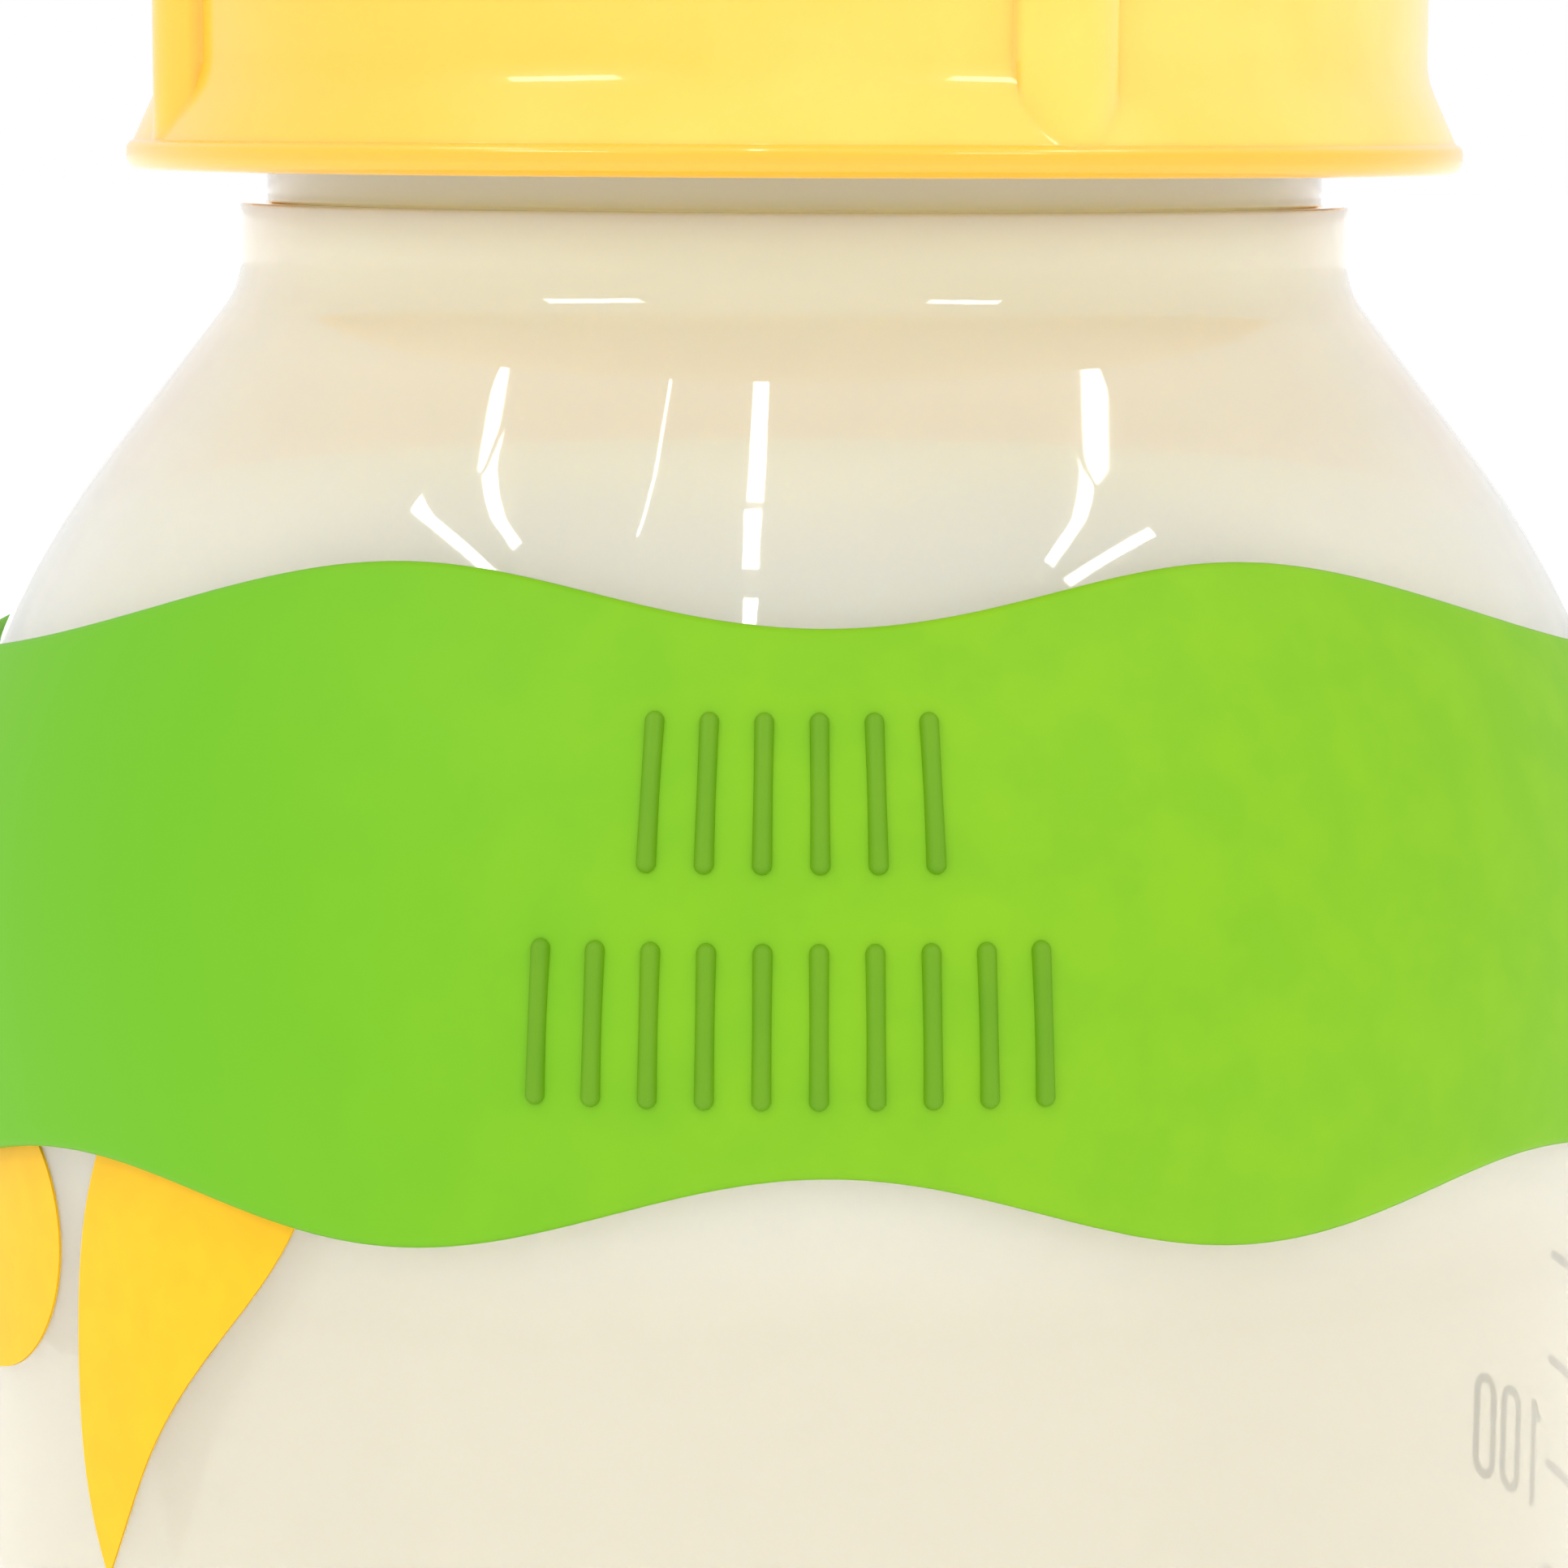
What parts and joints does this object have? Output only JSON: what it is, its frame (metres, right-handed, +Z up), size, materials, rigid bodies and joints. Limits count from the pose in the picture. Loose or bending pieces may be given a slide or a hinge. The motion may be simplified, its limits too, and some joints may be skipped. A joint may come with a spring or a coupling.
{
  "type": "feeding bottle",
  "caption": "Small feeding bottle with a curved shoulder, threaded neck, wavy grip sleeve, screw ring, soft teat, sealing disc and clear hood.",
  "frame": {"origin": "centre of the base, on the surface that the bottle stands on", "axes": "+Z up the bottle's axis; -Y is the front, where the sleeve's bars are"},
  "size_m": [0.062, 0.0622, 0.1475],
  "materials": {
    "bottle_plastic": "translucent warm off-white, glossy outside",
    "scale_print": "thin beige ink",
    "petal_print": "thin yellow ink",
    "sleeve_silicone": "smooth matt silicone",
    "bar_silicone": "smooth matt silicone, darker",
    "ring_plastic": "glossy moulded plastic",
    "teat_silicone": "clear soft silicone",
    "disc_plastic": "satin white",
    "hood_plastic": "clear, polished"
  },
  "bodies": {
    "bottle": {"bottle_body": "bottle_plastic", "volume_scale": "scale_print", "petal_prints": "petal_print"},
    "sleeve": {"grip_sleeve": "sleeve_silicone", "sleeve_grip_bars": "bar_silicone"},
    "teat_stack": {"teat": "teat_silicone", "sealing_disc": "disc_plastic"},
    "ring": {"screw_ring": "ring_plastic"},
    "hood": {"hood": "hood_plastic"}
  },
  "joints": [
    {"name": "stack_rise", "type": "slide", "parent": "bottle", "child": "teat_stack", "axis": [0, 0, 1], "range_m": [0, 0.016]},
    {"name": "ring_turn", "type": "hinge", "parent": "teat_stack", "child": "ring", "pos_m": [0, 0, 0.098], "axis": [0, 0, 1], "range_deg": [0, 720]},
    {"name": "hood_lift", "type": "slide", "parent": "ring", "child": "hood", "axis": [0, 0, 1], "range_m": [0, 0.06]},
    {"name": "sleeve_lift", "type": "slide", "parent": "bottle", "child": "sleeve", "axis": [0, 0, 1], "range_m": [0, 0.1]}
  ],
  "couplings": [
    {"joint": "stack_rise", "follows": "ring_turn", "m_per_rad": 0.0012732}
  ]
}
